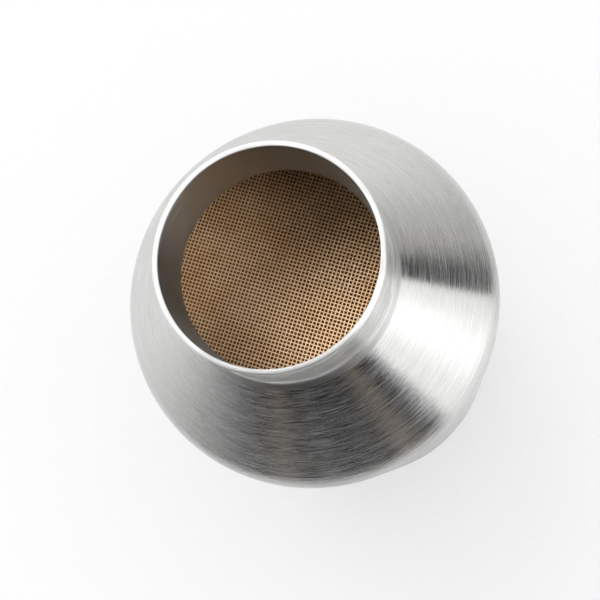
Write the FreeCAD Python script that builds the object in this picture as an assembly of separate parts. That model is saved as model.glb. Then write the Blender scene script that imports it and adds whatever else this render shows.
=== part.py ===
import FreeCAD, Part
import math
import os

# Round catalytic converter with a spun can, in millimetres.
# It stands on the mouth of its outlet neck: the origin is the centre of that mouth,
# and +Z runs along the can's axis towards the inlet mouth.

# Can: one piece of stainless tube, both ends spun down to the pipe's diameter.
SHEET_THICKNESS = 1.5
PIPE_DIAMETER = 63.5
BARREL_DIAMETER = 127.0
CONE_ANGLE = 38.0
NECK_LENGTH = 19.5
NECK_FILLET_RADIUS = 7.0
SHOULDER_RADIUS = 19.0

# Each bend of the wall is drawn in this many short tapers, which keeps it within 0.2 mm
# of its true arc and the can's surface light.
FILLET_TAPERS = 2
SHOULDER_TAPERS = 3

# Monolith: a cylinder of ceramic with square channels from face to face. Each channel
# here stands for a block of the real, finer ones.
MONOLITH_LENGTH = 152.4
MONOLITH_CORNER_CLEARANCE = 1.0
CHANNEL_PITCH = 6.35
CHANNEL_WALL = 1.6
MONOLITH_SKIN = 1.2

# Support mat: a felt strip wrapped once round the monolith, its ends locked by a tongue.
MAT_THICKNESS = 2.8
MAT_SEAM_GAP = 1.0
MAT_TONGUE_LENGTH = 24.0
MAT_TONGUE_WIDTH = 42.0

# Edge seals: pressed rings of knitted wire that guard the mat's two edges.
SEAL_WIDTH = 7.0

# Left between each inner piece and what holds it, so that none overlaps another.
SEAT_CLEARANCE = 0.1

# Places along the axis and round it, all worked out from the sizes above.
CONE = math.radians(CONE_ANGLE)
PIPE_RADIUS = PIPE_DIAMETER / 2
BARREL_RADIUS = BARREL_DIAMETER / 2
MONOLITH_RADIUS = BARREL_RADIUS - SHEET_THICKNESS - MAT_THICKNESS
FILLET_RUN = NECK_FILLET_RADIUS * math.tan(CONE / 2)
SHOULDER_RUN = SHOULDER_RADIUS * math.tan(CONE / 2)
CONE_RUN = (BARREL_RADIUS - PIPE_RADIUS) / math.tan(CONE)
BARREL_START = NECK_LENGTH + FILLET_RUN + CONE_RUN + SHOULDER_RUN

# The monolith's corners reach past the barrel, into the shoulders, as far as the
# inner wall of the bend lets them.
CORNER_RADIUS = MONOLITH_RADIUS + MONOLITH_CORNER_CLEARANCE
CORNER_OFFSET = CORNER_RADIUS - (BARREL_RADIUS - SHOULDER_RADIUS)
MONOLITH_REACH = math.sqrt((SHOULDER_RADIUS - SHEET_THICKNESS) ** 2 - CORNER_OFFSET ** 2)
BARREL_LENGTH = MONOLITH_LENGTH - 2 * MONOLITH_REACH
BARREL_END = BARREL_START + BARREL_LENGTH
TOTAL_LENGTH = BARREL_END + BARREL_START
MONOLITH_START = BARREL_START - MONOLITH_REACH
CHANNEL_WIDTH = CHANNEL_PITCH - CHANNEL_WALL

# The mat and its seals fill the gap between the monolith and the barrel.
GAP_INNER_RADIUS = MONOLITH_RADIUS + SEAT_CLEARANCE
GAP_OUTER_RADIUS = BARREL_RADIUS - SHEET_THICKNESS - SEAT_CLEARANCE
MAT_START = BARREL_START + SEAL_WIDTH + SEAT_CLEARANCE
MAT_END = BARREL_END - SEAL_WIDTH - SEAT_CLEARANCE

UP = FreeCAD.Vector(0, 0, 1)
FOOT = FreeCAD.Vector(0, 0, 0)
FULL_TURN = 360.0


def point(radius, height):
    return FreeCAD.Vector(radius, 0.0, height)


def line(start, end):
    return Part.LineSegment(start, end).toShape()


def bend(start, middle, end, tapers):
    places = Part.Arc(start, middle, end).discretize(tapers + 1)
    return [line(low, high) for low, high in zip(places, places[1:])]


def end_outline(inset):
    """Edges of one spun end, from its mouth to the barrel, moved inwards by inset.

    The straight neck flares through a concave fillet into the cone, and the cone
    rolls over a convex shoulder into the barrel. Both bends are tangent arcs, so the
    inner wall keeps their centres and changes only their radii.
    """
    fillet_radius = NECK_FILLET_RADIUS + inset
    shoulder_radius = SHOULDER_RADIUS - inset
    fillet_centre = point(PIPE_RADIUS + NECK_FILLET_RADIUS, NECK_LENGTH)
    shoulder_centre = point(BARREL_RADIUS - SHOULDER_RADIUS, BARREL_START)

    def on_fillet(angle):
        return fillet_centre + point(-fillet_radius * math.cos(angle), fillet_radius * math.sin(angle))

    def on_shoulder(angle):
        return shoulder_centre + point(shoulder_radius * math.cos(angle), -shoulder_radius * math.sin(angle))

    neck = line(point(PIPE_RADIUS - inset, 0.0), on_fillet(0.0))
    fillet = bend(on_fillet(0.0), on_fillet(CONE / 2), on_fillet(CONE), FILLET_TAPERS)
    cone = line(on_fillet(CONE), on_shoulder(CONE))
    shoulder = bend(on_shoulder(CONE), on_shoulder(CONE / 2), on_shoulder(0.0), SHOULDER_TAPERS)
    return [neck] + fillet + [cone] + shoulder


def at_inlet(edges):
    """The same edges at the inlet end, mirrored in the plane across the can's middle."""
    return [edge.mirror(point(0.0, TOTAL_LENGTH / 2), UP) for edge in edges]


def wall_outline(inset):
    barrel_radius = BARREL_RADIUS - inset
    barrel = line(point(barrel_radius, BARREL_START), point(barrel_radius, BARREL_END))
    outlet = end_outline(inset)
    return outlet + [barrel] + at_inlet(outlet)


def mouth_outline():
    return line(point(PIPE_RADIUS - SHEET_THICKNESS, 0.0), point(PIPE_RADIUS, 0.0))


def make_can():
    """Spin the wall's half section, with its two square-cut mouths, round the axis."""
    mouths = [mouth_outline()] + at_inlet([mouth_outline()])
    edges = wall_outline(0.0) + wall_outline(SHEET_THICKNESS) + mouths
    section = Part.Face(Part.Wire(Part.__sortEdges__(edges)))
    return section.revolve(FOOT, UP, FULL_TURN)


def channel_centres():
    """Centres of the whole square channels that fit inside the monolith's skin."""
    limit = MONOLITH_RADIUS - MONOLITH_SKIN
    reach = int(limit / CHANNEL_PITCH) + 1
    places = [step * CHANNEL_PITCH for step in range(-reach, reach + 1)]
    half = CHANNEL_WIDTH / 2
    return [(x, y) for x in places for y in places if math.hypot(abs(x) + half, abs(y) + half) <= limit]


def square(centre_x, centre_y):
    half = CHANNEL_WIDTH / 2
    corners = [(-half, -half), (-half, half), (half, half), (half, -half), (-half, -half)]
    return Part.makePolygon([FreeCAD.Vector(centre_x + x, centre_y + y, MONOLITH_START) for x, y in corners])


def make_monolith():
    """Draw one end face with all its square holes, then extrude it along the axis."""
    rim = Part.Circle(point(0.0, MONOLITH_START), UP, MONOLITH_RADIUS)
    wires = [Part.Wire(rim.toShape())] + [square(x, y) for x, y in channel_centres()]
    return Part.Face(wires).extrude(UP * MONOLITH_LENGTH)


def gap_ring(low, high):
    ring = Part.makeCylinder(GAP_OUTER_RADIUS, high - low, point(0.0, low))
    return ring.cut(Part.makeCylinder(GAP_INNER_RADIUS, high - low, point(0.0, low)))


def seam_slot(start_arc, end_arc, low, high):
    """A cutter through the mat, between two places measured round its outside."""
    start_angle = math.degrees(start_arc / GAP_OUTER_RADIUS)
    sweep = math.degrees((end_arc - start_arc) / GAP_OUTER_RADIUS)
    slot = Part.makeCylinder(BARREL_RADIUS, high - low, point(0.0, low), UP, sweep)
    slot.rotate(FOOT, UP, start_angle)
    return slot


def make_support_mat():
    """The wrapped strip, with the stepped seam where its tongue meets its groove."""
    middle = (MAT_START + MAT_END) / 2
    tongue_low = middle - MAT_TONGUE_WIDTH / 2
    tongue_high = middle + MAT_TONGUE_WIDTH / 2
    tip = MAT_TONGUE_LENGTH
    slots = [
        seam_slot(0.0, MAT_SEAM_GAP, MAT_START, tongue_low),
        seam_slot(0.0, tip + MAT_SEAM_GAP, tongue_low - MAT_SEAM_GAP, tongue_low),
        seam_slot(tip, tip + MAT_SEAM_GAP, tongue_low, tongue_high),
        seam_slot(0.0, tip + MAT_SEAM_GAP, tongue_high, tongue_high + MAT_SEAM_GAP),
        seam_slot(0.0, MAT_SEAM_GAP, tongue_high, MAT_END),
    ]
    return gap_ring(MAT_START, MAT_END).cut(slots)


PIECES = {
    "can": make_can(),
    "monolith": make_monolith(),
    "support_mat": make_support_mat(),
    "outlet_edge_seal": gap_ring(BARREL_START, BARREL_START + SEAL_WIDTH),
    "inlet_edge_seal": gap_ring(BARREL_END - SEAL_WIDTH, BARREL_END),
}

os.makedirs("parts", exist_ok=True)
for name, shape in PIECES.items():
    shape.exportStep("parts/" + name + ".step")
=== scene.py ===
import bmesh
import bpy
import math
from mathutils import Matrix, Vector


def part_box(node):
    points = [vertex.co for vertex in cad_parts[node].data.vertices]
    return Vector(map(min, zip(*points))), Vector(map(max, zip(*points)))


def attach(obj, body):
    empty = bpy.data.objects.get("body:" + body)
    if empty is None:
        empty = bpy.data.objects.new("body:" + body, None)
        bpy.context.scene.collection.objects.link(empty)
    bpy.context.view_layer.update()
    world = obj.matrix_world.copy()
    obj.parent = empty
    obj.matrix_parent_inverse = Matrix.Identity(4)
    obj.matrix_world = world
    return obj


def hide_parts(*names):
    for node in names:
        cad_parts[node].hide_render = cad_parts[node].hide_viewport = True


# The looks of a round catalytic converter, in metres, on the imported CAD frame. It stands
# on its outlet mouth at the origin, and +Z runs along its axis to the inlet mouth.
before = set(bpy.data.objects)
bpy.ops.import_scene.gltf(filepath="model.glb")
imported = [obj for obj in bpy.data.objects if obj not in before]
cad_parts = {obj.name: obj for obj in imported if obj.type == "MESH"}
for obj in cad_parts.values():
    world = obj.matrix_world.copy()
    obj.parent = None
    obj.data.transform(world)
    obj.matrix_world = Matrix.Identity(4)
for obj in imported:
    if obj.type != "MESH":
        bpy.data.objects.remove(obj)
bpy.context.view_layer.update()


# Can: one tube of 1.5 mm stainless steel, both ends spun down over a roller to the
# exhaust pipe's size. The spinning and a last pass of abrasive belt leave fine lines
# round the axis, so it is modelled as a spun wall with a directional finish.

SHEET_THICKNESS = 0.0015
NECK_RADIUS = 0.03175
NECK_LENGTH = 0.0195
FILLET_RADIUS = 0.007
SHOULDER_RADIUS = 0.019
CONE_ANGLE = math.radians(38.0)
MOUTH_EDGE_RADIUS = 0.00016
TURN_STEPS = 288
RUN_SPACING = 0.004
BEND_STEPS = 10
RIM_CREASE = math.radians(50.0)

can_low, can_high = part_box("can")
CAN_HEIGHT = can_high.z - can_low.z
MID_HEIGHT = can_low.z + CAN_HEIGHT / 2
BARREL_RADIUS = (can_high.x - can_low.x) / 2
CONE_RUN = (BARREL_RADIUS - NECK_RADIUS) / math.tan(CONE_ANGLE)
BENDS_RUN = (FILLET_RADIUS + SHOULDER_RADIUS) * math.tan(CONE_ANGLE / 2)
BARREL_START = NECK_LENGTH + CONE_RUN + BENDS_RUN


def run(start, end):
    """Places along a straight wall, close enough for the shading to stay true."""
    steps = max(1, round((end - start).length / RUN_SPACING))
    return [start.lerp(end, step / steps) for step in range(steps)]


def bend(centre, radius, start_angle, end_angle):
    """Places along an arc of the wall, from its start to one step short of its end."""
    angles = [
        start_angle + (end_angle - start_angle) * step / BEND_STEPS for step in range(BEND_STEPS)
    ]
    return [centre + radius * Vector((math.cos(angle), math.sin(angle))) for angle in angles]


def end_wall(inset):
    """Radius and height along one spun end, from its mouth to the barrel's start."""
    fillet_centre = Vector((NECK_RADIUS + FILLET_RADIUS, NECK_LENGTH))
    shoulder_centre = Vector((BARREL_RADIUS - SHOULDER_RADIUS, BARREL_START))
    fillet = bend(fillet_centre, FILLET_RADIUS + inset, math.pi, math.pi - CONE_ANGLE)
    shoulder = bend(shoulder_centre, SHOULDER_RADIUS - inset, -CONE_ANGLE, 0.0)
    neck = run(Vector((NECK_RADIUS - inset, 0.0)), fillet[0])
    cone_way = Vector((-math.cos(CONE_ANGLE), math.sin(CONE_ANGLE)))
    cone = run(fillet_centre + (FILLET_RADIUS + inset) * cone_way, shoulder[0])
    return neck + fillet + cone + shoulder


def whole_wall(inset):
    """The same along the whole can, its inlet end the mirror image of its outlet end."""
    outlet = end_wall(inset)
    barrel = run(
        Vector((BARREL_RADIUS - inset, BARREL_START)),
        Vector((BARREL_RADIUS - inset, CAN_HEIGHT - BARREL_START)),
    )
    inlet = [Vector((BARREL_RADIUS - inset, CAN_HEIGHT - BARREL_START))]
    inlet += [Vector((place.x, CAN_HEIGHT - place.y)) for place in reversed(outlet)]
    return outlet + barrel + inlet


def new_piece(name, bm, sharp_angle):
    """A mesh object from bm, shaded smooth except along edges sharper than the angle."""
    bmesh.ops.recalc_face_normals(bm, faces=bm.faces)
    for face in bm.faces:
        face.smooth = True
    for edge in bm.edges:
        edge.smooth = len(edge.link_faces) < 2 or edge.calc_face_angle() < sharp_angle
    mesh = bpy.data.meshes.new(name)
    bm.to_mesh(mesh)
    bm.free()
    piece = bpy.data.objects.new(name, mesh)
    bpy.context.collection.objects.link(piece)
    return piece


bm = bmesh.new()
section = whole_wall(0.0) + list(reversed(whole_wall(SHEET_THICKNESS)))
corners = [bm.verts.new((place.x, 0.0, can_low.z + place.y)) for place in section]
loop = [bm.edges.new((corner, corners[index - 1])) for index, corner in enumerate(corners)]
bmesh.ops.spin(
    bm,
    geom=corners + loop,
    cent=(0.0, 0.0, 0.0),
    axis=(0.0, 0.0, 1.0),
    angle=math.tau,
    steps=TURN_STEPS,
    use_merge=True,
)
bmesh.ops.remove_doubles(bm, verts=bm.verts, dist=SHEET_THICKNESS / 100)
rims = [edge for edge in bm.edges if edge.is_manifold and edge.calc_face_angle() > RIM_CREASE]
bmesh.ops.bevel(
    bm,
    geom=rims,
    offset=MOUTH_EDGE_RADIUS,
    offset_type="OFFSET",
    segments=2,
    profile=0.5,
    affect="EDGES",
    material=-1,
)
can = new_piece("spun_can", bm, RIM_CREASE)


def add(tree, kind, inputs=None, **settings):
    """A new node with its settings, and its inputs set to values or linked to sockets."""
    node = tree.nodes.new(kind)
    for name, value in settings.items():
        setattr(node, name, value)
    for name, value in (inputs or {}).items():
        if isinstance(value, bpy.types.NodeSocket):
            tree.links.new(value, node.inputs[name])
        else:
            node.inputs[name].default_value = value
    return node


def maths(tree, operation, first, second=0.0):
    return add(tree, "ShaderNodeMath", {0: first, 1: second}, operation=operation).outputs[0]


def vector_maths(tree, operation, first, second, output="Vector"):
    node = add(tree, "ShaderNodeVectorMath", {0: first, 1: second}, operation=operation)
    return node.outputs[output]


def weighted(tree, terms, total=0.0):
    """The total so far, plus each value times its weight."""
    for value, weight in terms:
        total = maths(tree, "ADD", total, maths(tree, "MULTIPLY", value, weight))
    return total


def scaled(tree, vector, factor):
    inputs = {0: vector, "Scale": factor}
    return add(tree, "ShaderNodeVectorMath", inputs, operation="SCALE").outputs["Vector"]


def length(tree, vector):
    return vector_maths(tree, "LENGTH", vector, (0.0, 0.0, 0.0), "Value")


def remap(tree, value, low, high):
    """Value from low..high to 0..1, with soft ends."""
    inputs = {"Value": value, "From Min": low, "From Max": high}
    return add(tree, "ShaderNodeMapRange", inputs, interpolation_type="SMOOTHSTEP").outputs[0]


def noise(tree, vector, scale, detail=2.0, roughness=0.5):
    inputs = {"Vector": vector, "Scale": scale, "Detail": detail, "Roughness": roughness}
    return add(tree, "ShaderNodeTexNoise", inputs).outputs["Fac"]


def mix_colour(tree, share, first, second):
    """The first colour, turning into the second as the share goes from 0 to 1."""
    inputs = {0: share, 6: first, 7: second}
    return add(tree, "ShaderNodeMix", inputs, data_type="RGBA").outputs[2]


def new_group(name, inputs, outputs):
    """An empty shader node group with named sockets, and its two end nodes."""
    tree = bpy.data.node_groups.new(name, "ShaderNodeTree")
    for socket_name, socket_type in inputs:
        tree.interface.new_socket(socket_name, in_out="INPUT", socket_type=socket_type)
    for socket_name, socket_type in outputs:
        tree.interface.new_socket(socket_name, in_out="OUTPUT", socket_type=socket_type)
    return tree, tree.nodes.new("NodeGroupInput"), tree.nodes.new("NodeGroupOutput")


def new_material(name):
    """An empty material, with its tree, its Principled shader and object coordinates."""
    material = bpy.data.materials.new(name)
    material.use_nodes = True
    tree = material.node_tree
    shader = tree.nodes["Principled BSDF"]
    place = add(tree, "ShaderNodeTexCoord").outputs["Object"]
    return material, tree, shader, place


# Each kind of line has its noise's scale round the turn and, per metre, along the wall.
# The range is the part of that noise that runs from none of the line to all of it.
FINE_LINES = (4.5, 3600.0)
COARSE_LINES = (1.9, 2500.0)
BROAD_BANDS = (1.8, 170.0)
SCRATCH_LINES = (3.0, 3800.0)
FINE_RANGE = (0.34, 0.66)
COARSE_RANGE = (0.33, 0.67)
SCRATCH_RANGE = (0.6, 0.74)
WANDER_SCALE = 25.0
WANDER_REACH = 0.0009


def make_turned_lines():
    """Lines round the Z axis: fine and coarse ones, broad bands, and scratches, which the steel
    paints pale, partly as a painted glint.

    Noise is stretched along the turn by reading it at the direction from the axis,
    and across the turn at the distance along the wall, which wanders a little.
    """
    tree, start, end = new_group(
        "turned_lines",
        [("Place", "NodeSocketVector"), ("Mid Height", "NodeSocketFloat")],
        [
            ("Fine", "NodeSocketFloat"),
            ("Coarse", "NodeSocketFloat"),
            ("Bands", "NodeSocketFloat"),
            ("Scratches", "NodeSocketFloat"),
        ],
    )
    parts = add(tree, "ShaderNodeSeparateXYZ", {0: start.outputs["Place"]})
    flat = add(tree, "ShaderNodeCombineXYZ", {"X": parts.outputs["X"], "Y": parts.outputs["Y"]})
    radius = length(tree, flat.outputs[0])
    direction = vector_maths(tree, "NORMALIZE", flat.outputs[0], (0.0, 0.0, 0.0))
    from_middle = maths(tree, "SUBTRACT", parts.outputs["Z"], start.outputs["Mid Height"])
    along = maths(tree, "SUBTRACT", maths(tree, "ABSOLUTE", from_middle), radius)
    wander = noise(tree, start.outputs["Place"], WANDER_SCALE, 1.0)
    along = maths(tree, "ADD", along, maths(tree, "MULTIPLY", wander, WANDER_REACH))

    def stretched(scales):
        round_scale, along_scale = scales
        height = maths(tree, "MULTIPLY", along, along_scale)
        lift = add(tree, "ShaderNodeCombineXYZ", {"Z": height}).outputs[0]
        return vector_maths(tree, "ADD", scaled(tree, direction, round_scale), lift)

    fine = noise(tree, stretched(FINE_LINES), 1.0, 1.0, 0.6)
    coarse = noise(tree, stretched(COARSE_LINES), 1.0, 1.0, 0.6)
    bands = noise(tree, stretched(BROAD_BANDS), 1.0, 2.0, 0.5)
    scratch_lines = noise(tree, stretched(SCRATCH_LINES), 1.0, 0.0, 0.5)
    tree.links.new(remap(tree, fine, *FINE_RANGE), end.inputs["Fine"])
    tree.links.new(remap(tree, coarse, *COARSE_RANGE), end.inputs["Coarse"])
    tree.links.new(bands, end.inputs["Bands"])
    tree.links.new(remap(tree, scratch_lines, *SCRATCH_RANGE), end.inputs["Scratches"])
    return tree


STEEL_DARK = (0.585, 0.58, 0.57, 1.0)
STEEL_PALE = (0.745, 0.745, 0.74, 1.0)
SCRATCH_GLINT_COLOUR = (0.9, 0.9, 0.9, 1.0)
SCRATCH_GLINT_SHARE = 0.6
INNER_SHADE_COLOUR = (0.23, 0.245, 0.255, 1.0)
INNER_SHADE_SHARE = 0.75
INNER_LEAN = (-0.1, -0.5)
BEND_STARTS = (NECK_RADIUS + 0.0005, NECK_RADIUS + 0.0012)
BEND_ENDS = (NECK_RADIUS + 0.0026, NECK_RADIUS + 0.0018)
CUT_EDGE_AND_HIGHLIGHT_COLOUR = (0.95, 0.95, 0.94, 1.0)
POLISHED_ROUGHNESS = 0.17
BUMP_STRENGTH = 0.4
BUMP_DISTANCE = 0.00006
LINE_WAVER = 0.009

steel, tree, shader, place = new_material("turned_stainless")
lines = tree.nodes.new("ShaderNodeGroup")
lines.node_tree = make_turned_lines()
tree.links.new(place, lines.inputs["Place"])
lines.inputs["Mid Height"].default_value = MID_HEIGHT
fine = lines.outputs["Fine"]
coarse = lines.outputs["Coarse"]
scratches = lines.outputs["Scratches"]

# The inner wall, whose normal leans towards the axis, keeps the tube's duller finish, and its
# colour is also darkened as painted shade inside the tube.
own_normal = add(tree, "ShaderNodeTexCoord").outputs["Normal"]
outwards = vector_maths(tree, "MULTIPLY", place, (1.0, 1.0, 0.0))
from_axis = length(tree, outwards)
leaning_out = vector_maths(tree, "DOT_PRODUCT", own_normal, outwards, "Value")
inside = remap(tree, maths(tree, "DIVIDE", leaning_out, from_axis), *INNER_LEAN)

# The belt doesn't reach the hollow of the bend between neck and cone.
past_neck = remap(tree, from_axis, *BEND_STARTS)
before_cone = remap(tree, from_axis, *BEND_ENDS)
in_bend = maths(tree, "MULTIPLY", past_neck, before_cone)

# The two mouths are cut square, which leaves them without the turned lines; their pale colour is
# partly the bare cut edge and partly a painted highlight.
height = add(tree, "ShaderNodeSeparateXYZ", {0: place}).outputs["Z"]
from_middle = maths(tree, "ABSOLUTE", maths(tree, "SUBTRACT", height, MID_HEIGHT))
mouth = CAN_HEIGHT / 2
on_wall = remap(tree, from_middle, mouth - MOUTH_EDGE_RADIUS, mouth - 4 * MOUTH_EDGE_RADIUS)
on_cut = maths(tree, "SUBTRACT", 1.0, on_wall)

shade = weighted(tree, [(fine, 0.35), (coarse, 0.45), (lines.outputs["Bands"], 0.2)])
steel_colour = mix_colour(tree, shade, STEEL_DARK, STEEL_PALE)
# The scratches are rougher and paler; their pale colour is partly the scratch itself and partly
# a painted glint.
scratch_glint_share = maths(tree, "MULTIPLY", scratches, SCRATCH_GLINT_SHARE)
steel_colour = mix_colour(tree, scratch_glint_share, steel_colour, SCRATCH_GLINT_COLOUR)
# Painted shade: the inner wall's colour is darkened towards a dark grey.
inner_shade_share = maths(tree, "MULTIPLY", inside, INNER_SHADE_SHARE)
steel_colour = mix_colour(tree, inner_shade_share, steel_colour, INNER_SHADE_COLOUR)
# Partly painted highlight: the cut mouths are painted nearly white.
steel_colour = mix_colour(tree, on_wall, CUT_EDGE_AND_HIGHLIGHT_COLOUR, steel_colour)
line_roughness = [(fine, 0.06), (coarse, 0.04), (scratches, 0.2)]
place_roughness = [(inside, 0.12), (in_bend, 0.3), (on_cut, 0.2)]
roughness = weighted(tree, line_roughness + place_roughness, POLISHED_ROUGHNESS)
relief = weighted(tree, [(fine, 1.0), (coarse, 0.6), (scratches, 0.5)])
depth = maths(tree, "MULTIPLY", on_wall, BUMP_STRENGTH)
grain_inputs = {"Strength": depth, "Distance": BUMP_DISTANCE, "Height": relief}
grain = add(tree, "ShaderNodeBump", grain_inputs).outputs["Normal"]

# The wall also leans a little along its lines, which breaks up what it mirrors.
tangent = add(tree, "ShaderNodeTangent", direction_type="RADIAL", axis="Z").outputs["Tangent"]
waver = maths(tree, "MULTIPLY", maths(tree, "SUBTRACT", coarse, 0.5), LINE_WAVER)
sideways = scaled(tree, tangent, maths(tree, "MULTIPLY", waver, on_wall))
leaning = vector_maths(tree, "ADD", grain, sideways)
facing = vector_maths(tree, "NORMALIZE", leaning, (0.0, 0.0, 0.0))
shader.inputs["Metallic"].default_value = 1.0
shader.inputs["Anisotropic"].default_value = 0.85
shader.inputs["Anisotropic Rotation"].default_value = 0.25
tree.links.new(steel_colour, shader.inputs["Base Color"])
tree.links.new(roughness, shader.inputs["Roughness"])
tree.links.new(facing, shader.inputs["Normal"])
tree.links.new(tangent, shader.inputs["Tangent"])
can.data.materials.append(steel)
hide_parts("can")
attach(can, "root")


# Monolith: the extruded cordierite brick, 400 square cells to the square inch, with a
# skin round its side. A tan washcoat covers its cell walls and its end faces.

CELL_PITCH = 0.00127
CELL_WALL = 0.0004
SKIN_THICKNESS = 0.0006
SKIN_STEPS = 360
CELL_CREASE = math.radians(30.0)
# The channel colours are the coat darkened and deepened as painted shade.
CHANNEL_SHADE_DARK = (0.42, 0.18, 0.035, 1.0)
CHANNEL_SHADE_PALE = (0.58, 0.28, 0.07, 1.0)
FACE_DARK = (0.84, 0.53, 0.28, 1.0)
FACE_PALE = (0.95, 0.66, 0.40, 1.0)
CLOUD_SCALE = 90.0
SPECK_SCALE = 1600.0
SPECK_DEPTH = 0.00005
TONE_RANGE = (0.35, 0.65)
FACE_LEAN = (0.4, 0.8)

brick_low, brick_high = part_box("monolith")
BRICK_RADIUS = (brick_high.x - brick_low.x) / 2
BRICK_LENGTH = brick_high.z - brick_low.z

bm = bmesh.new()
cells_across = 2 * round(BRICK_RADIUS / CELL_PITCH)
top_at = Matrix.Translation((0.0, 0.0, brick_high.z))
bmesh.ops.create_grid(
    bm,
    x_segments=cells_across,
    y_segments=cells_across,
    size=cells_across * CELL_PITCH / 2,
    matrix=top_at,
)
cell_limit = BRICK_RADIUS - SKIN_THICKNESS
outside = [
    face for face in bm.faces if max(vert.co.xy.length for vert in face.verts) > cell_limit
]
bmesh.ops.delete(bm, geom=outside, context="FACES")
steps_edge = [edge for edge in bm.edges if edge.is_boundary]
rim = bmesh.ops.create_circle(bm, segments=SKIN_STEPS, radius=BRICK_RADIUS, matrix=top_at)
rim_edges = list({edge for vert in rim["verts"] for edge in vert.link_edges})
holes = list(bm.faces)
bmesh.ops.triangle_fill(bm, edges=steps_edge + rim_edges, use_beauty=True, use_dissolve=False)
bmesh.ops.inset_individual(bm, faces=holes, thickness=CELL_WALL / 2, use_even_offset=True)
end_face = [face for face in bm.faces if face not in set(holes)]
bottom = bmesh.ops.duplicate(bm, geom=end_face)
bottom_verts = [item for item in bottom["geom"] if isinstance(item, bmesh.types.BMVert)]
down = Vector((0.0, 0.0, -BRICK_LENGTH))
bmesh.ops.translate(bm, verts=bottom_verts, vec=down)
channels = bmesh.ops.extrude_face_region(bm, geom=holes)
channel_ends = [item for item in channels["geom"] if isinstance(item, bmesh.types.BMVert)]
bmesh.ops.translate(bm, verts=channel_ends, vec=down)
closed = [item for item in channels["geom"] if isinstance(item, bmesh.types.BMFace)]
closed += [face for face in holes if face.is_valid]
bmesh.ops.delete(bm, geom=closed, context="FACES_ONLY")
side = bmesh.ops.extrude_edge_only(bm, edges=rim_edges)
side_verts = [item for item in side["geom"] if isinstance(item, bmesh.types.BMVert)]
bmesh.ops.translate(bm, verts=side_verts, vec=down)
bmesh.ops.remove_doubles(bm, verts=bm.verts, dist=CELL_WALL / 100)
brick = new_piece("cell_monolith", bm, CELL_CREASE)

washcoat, tree, shader, place = new_material("washcoated_ceramic")
cloud = noise(tree, place, CLOUD_SCALE, 3.0, 0.55)
speck = noise(tree, place, SPECK_SCALE, 2.0, 0.6)
tone = remap(tree, weighted(tree, [(cloud, 0.6), (speck, 0.4)]), *TONE_RANGE)
# Painted shade: the channel walls get a darker, more saturated copy of the coat than the end
# faces, for the shade deep in the channels.
shaded_channel_coat = mix_colour(tree, tone, CHANNEL_SHADE_DARK, CHANNEL_SHADE_PALE)
face_coat = mix_colour(tree, tone, FACE_DARK, FACE_PALE)
own_normal = add(tree, "ShaderNodeTexCoord").outputs["Normal"]
upright = add(tree, "ShaderNodeSeparateXYZ", {0: own_normal}).outputs["Z"]
on_face = remap(tree, maths(tree, "ABSOLUTE", upright), *FACE_LEAN)
coat = mix_colour(tree, on_face, shaded_channel_coat, face_coat)
coat_inputs = {"Strength": 0.4, "Distance": SPECK_DEPTH, "Height": speck}
coat_grain = add(tree, "ShaderNodeBump", coat_inputs)
shader.inputs["Roughness"].default_value = 0.85
tree.links.new(coat, shader.inputs["Base Color"])
tree.links.new(coat_grain.outputs["Normal"], shader.inputs["Normal"])
brick.data.materials.append(washcoat)
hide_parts("monolith")
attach(brick, "root")


# Support mat: the strip of ceramic fibre felt wrapped round the brick, which the can
# squeezes and which holds it. Its fibres lie mostly along the wrap.

FIBRE_SCALES = (300.0, 300.0, 2600.0)
FELT_DARK = (0.56, 0.49, 0.36, 1.0)
FELT_PALE = (0.84, 0.79, 0.66, 1.0)
LUMP_SCALE = 160.0
FIBRE_DEPTH = 0.0003

felt, tree, shader, place = new_material("fibre_felt")
long_fibres = add(tree, "ShaderNodeMapping", {"Vector": place, "Scale": FIBRE_SCALES}).outputs[0]
fibres = noise(tree, long_fibres, 1.0, 4.0, 0.7)
lumps = noise(tree, place, LUMP_SCALE, 2.0, 0.5)
felt_tone = remap(tree, weighted(tree, [(fibres, 0.7), (lumps, 0.3)]), *TONE_RANGE)
felt_colour = mix_colour(tree, felt_tone, FELT_DARK, FELT_PALE)
felt_inputs = {"Strength": 0.7, "Distance": FIBRE_DEPTH, "Height": fibres}
felt_grain = add(tree, "ShaderNodeBump", felt_inputs)
shader.inputs["Roughness"].default_value = 0.95
shader.inputs["Sheen Weight"].default_value = 0.3
tree.links.new(felt_colour, shader.inputs["Base Color"])
tree.links.new(felt_grain.outputs["Normal"], shader.inputs["Normal"])
mat_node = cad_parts["support_mat"]
mat_node.data.materials.clear()
mat_node.data.materials.append(felt)


# Edge seals: two rings knitted from fine stainless wire and pressed flat, one at each
# edge of the mat, which keep the gas off its fibres.

WIRE_COLOUR = (0.60, 0.59, 0.57, 1.0)
STITCH_GAP_SHADE = (0.08, 0.075, 0.07, 1.0)
STITCH_SCALE = 1100.0
STITCH_RANGE = (0.03, 0.22)
WIRE_DEPTH = 0.0002

knit, tree, shader, place = new_material("knitted_wire")
stitch_inputs = {"Vector": place, "Scale": STITCH_SCALE, "Randomness": 0.75}
stitches = add(tree, "ShaderNodeTexVoronoi", stitch_inputs, feature="DISTANCE_TO_EDGE")
stitch_gaps = remap(tree, stitches.outputs["Distance"], *STITCH_RANGE)
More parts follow.
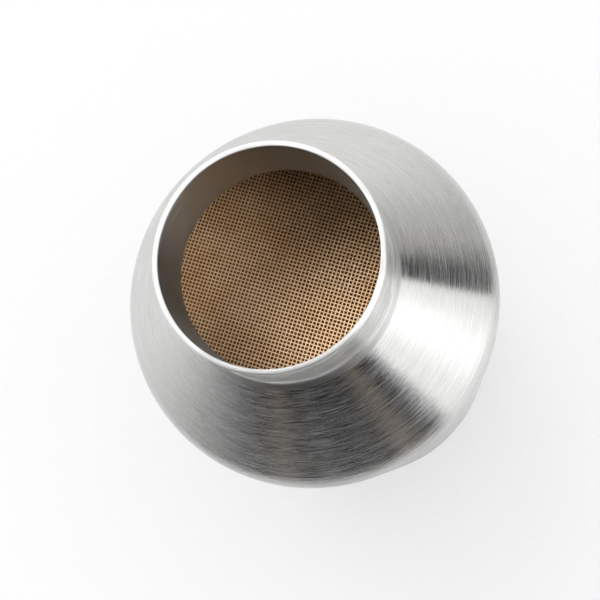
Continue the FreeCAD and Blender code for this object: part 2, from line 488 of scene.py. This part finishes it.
# Painted shade: the gaps between the stitches are painted nearly black.
wire_colour = mix_colour(tree, stitch_gaps, WIRE_COLOUR, STITCH_GAP_SHADE)
wire_inputs = {"Strength": 0.8, "Distance": WIRE_DEPTH, "Height": stitch_gaps}
wire_grain = add(tree, "ShaderNodeBump", wire_inputs, invert=True)
shader.inputs["Metallic"].default_value = 1.0
shader.inputs["Roughness"].default_value = 0.4
tree.links.new(wire_colour, shader.inputs["Base Color"])
tree.links.new(wire_grain.outputs["Normal"], shader.inputs["Normal"])
for seal_name in ("outlet_edge_seal", "inlet_edge_seal"):
    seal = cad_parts[seal_name]
    seal.data.materials.clear()
    seal.data.materials.append(knit)


# Studio: a plain white floor under an even white surround, one soft lamp high up, and two
# small ones close above the mouth that light the honeycomb. The bright cards and the
# dark flags stand round the converter, where only its steel mirrors them.

FLOOR_SIZE = 8.0
FLOOR_DARK = (0.975, 0.975, 0.975, 1.0)
FLOOR_PALE = (0.99, 0.99, 0.99, 1.0)
PAPER_SCALE = 400.0
PAPER_RANGE = (0.3, 0.7)

bm = bmesh.new()
bmesh.ops.create_grid(bm, x_segments=1, y_segments=1, size=FLOOR_SIZE / 2)
floor = new_piece("studio_floor", bm, math.pi)
paper, tree, shader, place = new_material("floor_paper")
paper_tone = remap(tree, noise(tree, place, PAPER_SCALE), *PAPER_RANGE)
paper_colour = mix_colour(tree, paper_tone, FLOOR_DARK, FLOOR_PALE)
shader.inputs["Roughness"].default_value = 0.9
shader.inputs["Specular IOR Level"].default_value = 0.1
tree.links.new(paper_colour, shader.inputs["Base Color"])
floor.data.materials.append(paper)

world = bpy.data.worlds.new("white_surround")
bpy.context.scene.world = world
world.use_nodes = True
background = world.node_tree.nodes["Background"]
background.inputs["Color"].default_value = (1.0, 1.0, 1.0, 1.0)
background.inputs["Strength"].default_value = 1.0

MOUTH_CENTRE = Vector((0.0, 0.0, can_high.z))
KEY_AIM = (145.0, 64.0)
KEY_DISTANCE = 1.2
KEY_POWER = 1.0
KEY_WIDTH = 0.5
FAR_LAMP_AIM = (152.0, 56.0)
FAR_LAMP_POWER = 0.0135
SIDE_LAMP_AIM = (8.0, 48.0)
SIDE_LAMP_POWER = 0.0055
MOUTH_LAMP_DISTANCE = 0.03
MOUTH_LAMP_WIDTH = 0.055
MOUTH_LAMP_SPREAD = math.radians(55.0)


def hang_lamp(name, aim, distance, power, width):
    """A disk lamp that looks at the inlet mouth; aim is its azimuth and elevation there."""
    data = bpy.data.lights.new(name, "AREA")
    data.energy = power
    data.shape = "DISK"
    data.size = width
    lamp = bpy.data.objects.new(name, data)
    turn, rise = (math.radians(angle) for angle in aim)
    level = math.cos(rise)
    way = Vector((level * math.cos(turn), level * math.sin(turn), math.sin(rise)))
    lamp.location = MOUTH_CENTRE + distance * way
    lamp.rotation_euler = way.to_track_quat("Z", "Y").to_euler()
    bpy.context.collection.objects.link(lamp)
    return lamp


hang_lamp("key_softbox", KEY_AIM, KEY_DISTANCE, KEY_POWER, KEY_WIDTH)
for name, aim, power in (
    ("far_mouth_lamp", FAR_LAMP_AIM, FAR_LAMP_POWER),
    ("side_mouth_lamp", SIDE_LAMP_AIM, SIDE_LAMP_POWER),
):
    mouth_lamp = hang_lamp(name, aim, MOUTH_LAMP_DISTANCE, power, MOUTH_LAMP_WIDTH)
    mouth_lamp.data.spread = MOUTH_LAMP_SPREAD
    mouth_lamp.visible_glossy = False
    mouth_lamp.visible_camera = False

FLAG_RADIUS = 0.053
FLAG_DISTANCE = 0.08
FLAG_WAY = Vector((0.166, -0.621, 0.766))
FLAG_COLOUR = (0.02, 0.02, 0.02, 1.0)

bm = bmesh.new()
bmesh.ops.create_circle(bm, cap_ends=True, segments=32, radius=FLAG_RADIUS)
mouth_flag = new_piece("mouth_flag", bm, math.pi)
mouth_flag.location = MOUTH_CENTRE + FLAG_DISTANCE * FLAG_WAY
mouth_flag.rotation_euler = FLAG_WAY.to_track_quat("Z", "Y").to_euler()
black, tree, shader, place = new_material("flag_black")
shader.inputs["Base Color"].default_value = FLAG_COLOUR
shader.inputs["Roughness"].default_value = 1.0
mouth_flag.data.materials.append(black)
mouth_flag.visible_camera = False

CARD_HEIGHT = 0.95
CARD_STEP = math.radians(3.0)


def stand_card(name, distance, sides, fades, level, tint):
    """A curved card round the axis that only mirrors show.

    Its sides are two azimuths in degrees, and it fades out over the angle given for
    each.
    """
    start, finish = (math.radians(side) for side in sides)
    bm = bmesh.new()
    foot = Vector((distance * math.cos(start), distance * math.sin(start), 0.0))
    low = bm.verts.new(foot)
    high = bm.verts.new(foot + Vector((0.0, 0.0, CARD_HEIGHT)))
    edge = bm.edges.new((low, high))
    bmesh.ops.spin(
        bm,
        geom=[low, high, edge],
        cent=(0.0, 0.0, 0.0),
        axis=(0.0, 0.0, 1.0),
        angle=finish - start,
        steps=max(2, round((finish - start) / CARD_STEP)),
    )
    card = new_piece(name, bm, math.pi)
    material, tree, shader, place = new_material(name)
    middle = (start + finish) / 2
    half = (finish - start) / 2
    turn = {"Vector": place, "Angle": -middle}
    turned = add(tree, "ShaderNodeVectorRotate", turn, rotation_type="Z_AXIS")
    parts = add(tree, "ShaderNodeSeparateXYZ", {0: turned.outputs[0]})
    angle = maths(tree, "ARCTAN2", parts.outputs["Y"], parts.outputs["X"])
    from_start = remap(tree, angle, -half, math.radians(fades[0]) - half)
    to_finish = remap(tree, angle, half, half - math.radians(fades[1]))
    glow = add(tree, "ShaderNodeEmission", {"Color": tint, "Strength": level})
    clear = add(tree, "ShaderNodeBsdfTransparent")
    solid = maths(tree, "MULTIPLY", from_start, to_finish)
    blend = add(tree, "ShaderNodeMixShader", {0: solid, 1: clear.outputs[0], 2: glow.outputs[0]})
    tree.links.new(blend.outputs[0], tree.nodes["Material Output"].inputs["Surface"])
    tree.nodes.remove(shader)
    card.data.materials.append(material)
    card.visible_camera = False
    card.visible_diffuse = False
    card.visible_shadow = False


WHITE = (1.0, 1.0, 1.0, 1.0)
SOFT_WHITE = (1.0, 0.98, 0.95, 1.0)
WARM = (1.0, 0.76, 0.54, 1.0)

# For each: distance, azimuths of its sides, fade at each side, brightness and tint.
stand_card("bright_card", 0.8, (-26.0, 26.0), (1.0, 1.0), 1.35, WHITE)
stand_card("bright_core", 0.79, (-14.0, 20.0), (15.0, 15.0), 1.9, WHITE)
stand_card("long_flag", 0.42, (-165.0, -23.6), (70.0, 1.0), 0.008, SOFT_WHITE)
stand_card("short_flag", 0.42, (23.6, 46.0), (1.0, 14.0), 0.02, SOFT_WHITE)
stand_card("grey_flag", 0.46, (28.0, 98.0), (2.0, 60.0), 0.4, SOFT_WHITE)
stand_card("near_strip", 0.42, (-44.8, -37.4), (2.2, 2.2), 0.26, WARM)
stand_card("far_strip", 0.42, (-92.0, -82.5), (3.5, 3.5), 0.28, WARM)

# A greyer disk on the floor right round the foot, which only the steel mirrors.
FOOT_CARD_RADIUS = 0.17
FOOT_CARD_HEIGHT = 0.0005
FOOT_CARD_COLOUR = (0.72, 0.73, 0.745, 1.0)

bm = bmesh.new()
bmesh.ops.create_circle(bm, cap_ends=True, segments=64, radius=FOOT_CARD_RADIUS)
bmesh.ops.translate(bm, verts=bm.verts, vec=(0.0, 0.0, FOOT_CARD_HEIGHT))
foot_card = new_piece("foot_card", bm, math.pi)
material, tree, shader, place = new_material("foot_card")
shader.inputs["Base Color"].default_value = FOOT_CARD_COLOUR
shader.inputs["Roughness"].default_value = 0.9
foot_card.data.materials.append(material)
foot_card.visible_camera = False
foot_card.visible_diffuse = False
foot_card.visible_shadow = False


# Camera: held over the inlet, a little to one side of the axis, about half a metre up.

CAMERA_PLACE = Vector((0.06102, -0.03265, 0.49075))
CAMERA_ANGLES = (9.725, 10.226, 17.997)
CAMERA_LENS = 51.26
CAMERA_SENSOR = 36.0

camera_data = bpy.data.cameras.new("camera")
camera_data.lens = CAMERA_LENS
camera_data.sensor_width = CAMERA_SENSOR
camera_data.clip_start = 0.01
camera = bpy.data.objects.new("camera", camera_data)
camera.location = CAMERA_PLACE
camera.rotation_euler = [math.radians(angle) for angle in CAMERA_ANGLES]
bpy.context.collection.objects.link(camera)
bpy.context.scene.camera = camera
bpy.context.scene.view_settings.view_transform = "Standard"
